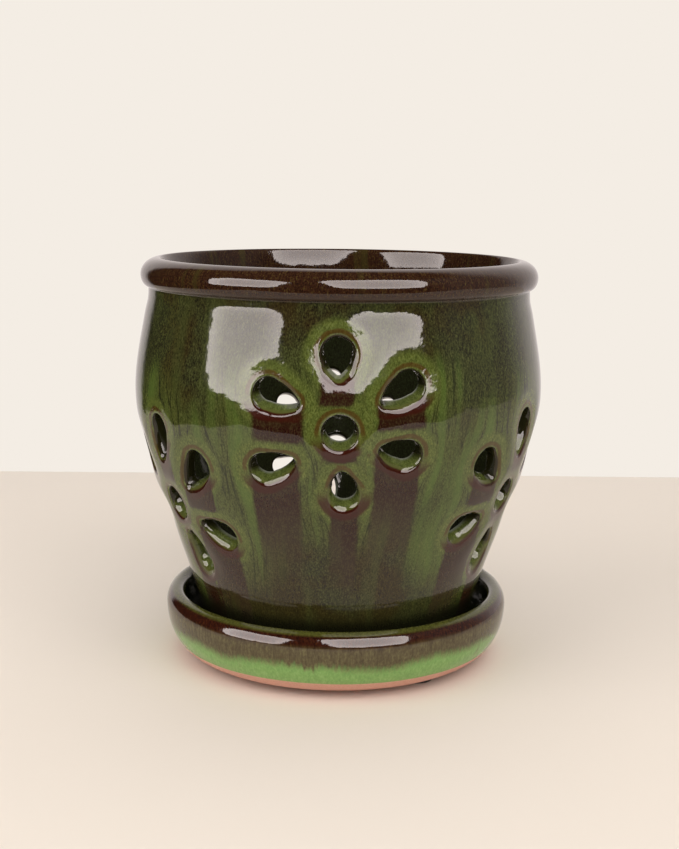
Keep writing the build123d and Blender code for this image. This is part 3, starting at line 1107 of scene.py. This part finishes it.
def room_glow(azimuth, elevation):
    """Brightness of the room in reflections: dark round the camera, pale behind and to the right."""
    right = 0.28 * ease(azimuth, 45, 70) + 0.62 * ease(azimuth, 100, 135)
    left = 0.9 * ease(-azimuth, 138, 146)
    low = 1 - ease(elevation, 45, 60)
    return 0.012 + (right * ease(azimuth, 0, 1) + left) * low


def make_room():
    """The dark room round the camera, as a wide dome that only reflections see."""
    radius, columns = 6.0, 144
    elevations, azimuths = np.linspace(-40, 88, 33), np.linspace(-180, 180, columns + 1)
    points, values = [], []
    for elevation in elevations:
        for azimuth in azimuths:
            points.append(MIDDLE + direction(azimuth, elevation) * radius)
            values.append(room_glow(azimuth, elevation))
    row = columns + 1
    last = (len(elevations) - 1) * row
    faces = [(i + j, i + j + 1, i + row + j + 1, i + row + j)
             for i in range(0, last, row) for j in range(columns)]
    faces.append(tuple(range(last, last + columns)))
    return mirrored_object("dark_room", points, faces, values, 1.0)


def softbox_card(name, azimuth, elevation, half_azimuth, half_elevation, radiance):
    """A glowing card with rounded corners and a slightly dimmer middle, which only reflections see."""
    distance, rings, steps = 4.0, 5, 64
    roundness, middle_glow, edge_gain = 0.45, 0.72, 0.4
    away, across = direction(azimuth, elevation), direction(azimuth + 90, 0)
    up = away.cross(across)
    width = distance * math.tan(math.radians(half_azimuth)) * math.cos(math.radians(elevation))
    height = distance * math.tan(math.radians(half_elevation))
    centre = MIDDLE + away * distance
    points, values = [centre], [middle_glow]
    for i in range(1, rings + 1):
        share = i / rings
        for j in range(steps):
            x, y = math.cos(2 * math.pi * j / steps), math.sin(2 * math.pi * j / steps)
            x = math.copysign(abs(x) ** roundness, x) * width * share
            y = math.copysign(abs(y) ** roundness, y) * height * share
            points.append(centre + across * x + up * y)
            values.append(middle_glow + edge_gain * share ** 3)
    faces = [(0, 1 + j, 1 + (j + 1) % steps) for j in range(steps)]
    faces += [tuple(i + 1 for i in face[::-1]) for face in grid_faces(rings, steps)]
    return mirrored_object(name, points, faces, values, radiance)


def make_stage():
    """A pale table top as deep as the photograph's, with the room and softboxes that the glaze mirrors."""
    half, left_end, right_end = 0.315, -0.35, 0.9
    corners = [(left_end, -half, 0), (right_end, -half, 0), (right_end, half, 0), (left_end, half, 0)]
    table = stage_object("table_top", corners, [(0, 1, 2, 3)], stage_material("table_pale", "#e9ddd0"))
    left = softbox_card("softbox_left", -56.5, 21, 23.5, 21, radiance=11.0)
    right = softbox_card("softbox_right", 22, 32.5, 30, 27.5, radiance=11.0)
    make_room()


def soft_lamp(name, azimuth, elevation, distance, width, height, radiance):
    """A large lamp that lights the surfaces but isn't mirrored in them."""
    lamp = bpy.data.lights.new(name, "AREA")
    lamp.shape = "RECTANGLE"
    lamp.size, lamp.size_y = width, height
    lamp.energy = radiance * math.pi * width * height
    obj = add_object(name, lamp)
    away = direction(azimuth, elevation)
    obj.location = MIDDLE + away * distance
    obj.rotation_euler = away.to_track_quat("Z", "Y").to_euler()
    obj.visible_glossy = False
    obj.visible_camera = False


def make_lamps():
    soft_lamp("soft_left", -56, 30, distance=1.2, width=1.1, height=1.0, radiance=1.7)
    soft_lamp("soft_right", 27, 38, distance=1.2, width=1.1, height=1.0, radiance=2.0)
    soft_lamp("soft_top", 160, 75, distance=1.4, width=1.6, height=1.6, radiance=0.9)


def make_world():
    """A pale backdrop, a duller one in reflections, and an even light on the surfaces."""
    world = bpy.data.worlds.new("pale_world")
    bpy.context.scene.world = world
    world.use_nodes = True
    nodes, links = world.node_tree.nodes, world.node_tree.links
    nodes.clear()

    def background(colour, strength):
        node = nodes.new("ShaderNodeBackground")
        node.inputs[0].default_value = linear(colour)
        node.inputs[1].default_value = strength
        return node.outputs[0]

    def choose(test, no, yes):
        node = nodes.new("ShaderNodeMixShader")
        for socket, source in zip(node.inputs, (test, no, yes)):
            links.new(source, socket)
        return node.outputs[0]

    ray = nodes.new("ShaderNodeLightPath").outputs
    mirrored = nodes.new("ShaderNodeMath")
    mirrored.operation = "MAXIMUM"
    links.new(ray["Is Glossy Ray"], mirrored.inputs[0])
    links.new(ray["Is Transmission Ray"], mirrored.inputs[1])
    light = choose(mirrored.outputs[0], background("#f2efea", 0.45), background("#d9d4cd", 0.9))
    shown = choose(ray["Is Camera Ray"], light, background("#f4ede4", 1.0))
    links.new(shown, nodes.new("ShaderNodeOutputWorld").inputs[0])


def make_camera():
    data = bpy.data.cameras.new("camera")
    data.sensor_width = SENSOR_WIDTH
    data.lens = SENSOR_WIDTH * FOCAL_LENGTH / PHOTO_HEIGHT
    camera = add_object("camera", data)
    roll = math.radians(CAMERA_ROLL)
    ahead = direction(180 - CAMERA_YAW, -CAMERA_PITCH)
    right = direction(90 - CAMERA_YAW, 0)
    up = right.cross(ahead)
    turned_right = right * math.cos(roll) + up * math.sin(roll)
    turned_up = up * math.cos(roll) - right * math.sin(roll)
    matrix = Matrix((turned_right, turned_up, -ahead)).transposed().to_4x4()
    matrix.translation = Vector(CAMERA_PLACE) * MM
    camera.matrix_world = matrix
    bpy.context.scene.camera = camera


bpy.context.scene.view_settings.view_transform = "Standard"

pot = make_pot()
saucer = make_saucer()
pads = {name: make_pad(name) for name in ("pad_right", "pad_back", "pad_left")}
pot.data.materials.append(pot_glaze())
saucer.data.materials.append(saucer_glaze())
rubber = pad_rubber()
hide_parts("pot")
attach(pot, "pot_body")
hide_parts("saucer")
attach(saucer, "saucer_base")
for name, pad in pads.items():
    pad.data.materials.append(rubber)
    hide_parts(name)
    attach(pad, "saucer_base")

make_stage()
make_lamps()
make_world()
make_camera()
